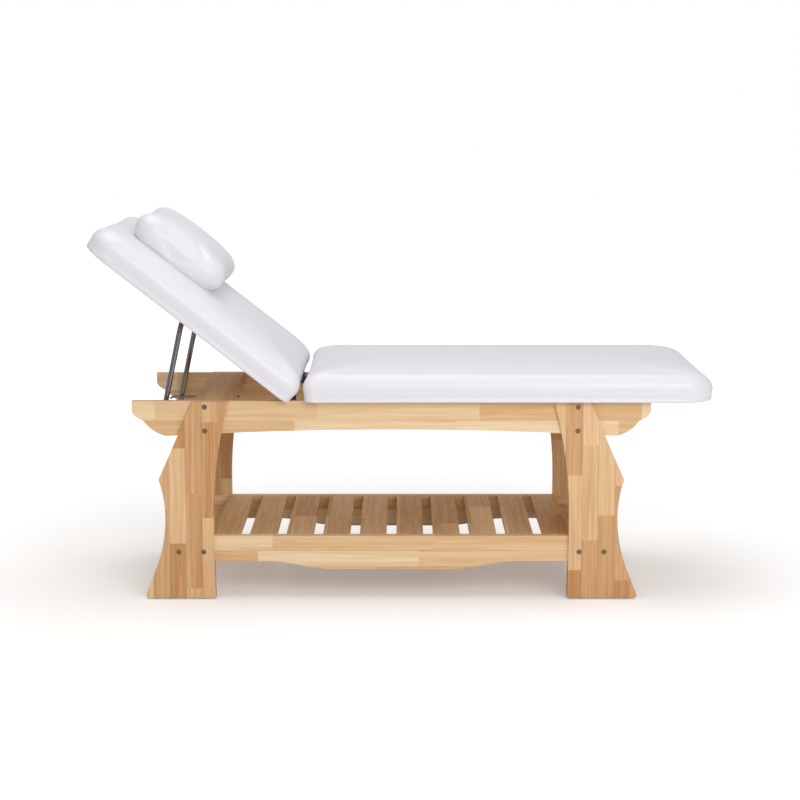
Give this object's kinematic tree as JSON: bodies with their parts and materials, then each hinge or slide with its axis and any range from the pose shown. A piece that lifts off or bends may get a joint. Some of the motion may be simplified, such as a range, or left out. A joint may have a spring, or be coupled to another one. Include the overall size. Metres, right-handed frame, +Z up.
{
  "type": "spa bed",
  "caption": "Wooden massage bed with a slatted lower shelf, a fixed seat pad, a lifting padded backrest on a chrome prop, and a pillow.",
  "frame": {"origin": "middle of the bounding box at floor level, with the backrest raised", "axes": "+X from the head end to the foot end, +Y across the bed, +Z up"},
  "size_m": [1.731, 0.69, 1.0471],
  "materials": {
    "wood": "satin lacquer",
    "pale_wood": "satin lacquer",
    "plywood": "raw",
    "vinyl": "satin",
    "steel": "zinc plated",
    "chrome": "polished",
    "bolt": "dark bronze plated",
    "glide": "matte"
  },
  "bodies": {
    "frame": {"leg_head_near": "wood", "leg_head_far": "wood", "leg_foot_near": "wood", "leg_foot_far": "wood", "upper_rail_near": "pale_wood", "upper_rail_far": "pale_wood", "lower_rail_near": "pale_wood", "lower_rail_far": "pale_wood", "head_plank": "wood", "foot_plank": "wood", "head_stretcher": "wood", "foot_stretcher": "wood", "hinge_batten": "wood", "cleat_near": "wood", "cleat_far": "wood", "slat_1": "pale_wood", "slat_2": "pale_wood", "slat_3": "pale_wood", "slat_4": "pale_wood", "slat_5": "pale_wood", "slat_6": "pale_wood", "slat_7": "pale_wood", "slat_8": "pale_wood", "slat_9": "pale_wood", "slat_10": "pale_wood", "seat_board": "plywood", "seat_cushion": "vinyl", "frame_hinge_near": "steel", "frame_hinge_far": "steel", "hinge_pins": "steel", "prop_guide_near": "chrome", "prop_guide_far": "chrome", "frame_bolts": "bolt", "barrel_nuts": "steel", "cap_nuts": "steel", "slat_screws": "steel", "board_screws": "steel", "frame_screws": "steel", "batten_dowels": "wood", "glides": "glide"},
    "backrest": {"backrest_board": "plywood", "backrest_cushion": "vinyl", "pillow": "vinyl", "backrest_hinge_near": "steel", "backrest_hinge_far": "steel", "prop_bracket_near": "chrome", "prop_bracket_far": "chrome", "backrest_screws": "steel"},
    "prop": {"prop_bail": "chrome"}
  },
  "joints": [
    {"name": "backrest_hinge", "type": "hinge", "parent": "frame", "child": "backrest", "pos_m": [-0.30394, 0, 0.604], "axis": [0, 1, 0], "range_deg": [-38.2, 0]},
    {"name": "prop_pivot", "type": "hinge", "parent": "backrest", "child": "prop", "pos_m": [-0.6082, 0, 0.77167], "axis": [0, 1, 0], "range_deg": [0, 113.5]}
  ],
  "couplings": [
    {"joint": "prop_pivot", "follows": "backrest_hinge", "ratio": -2.95}
  ]
}
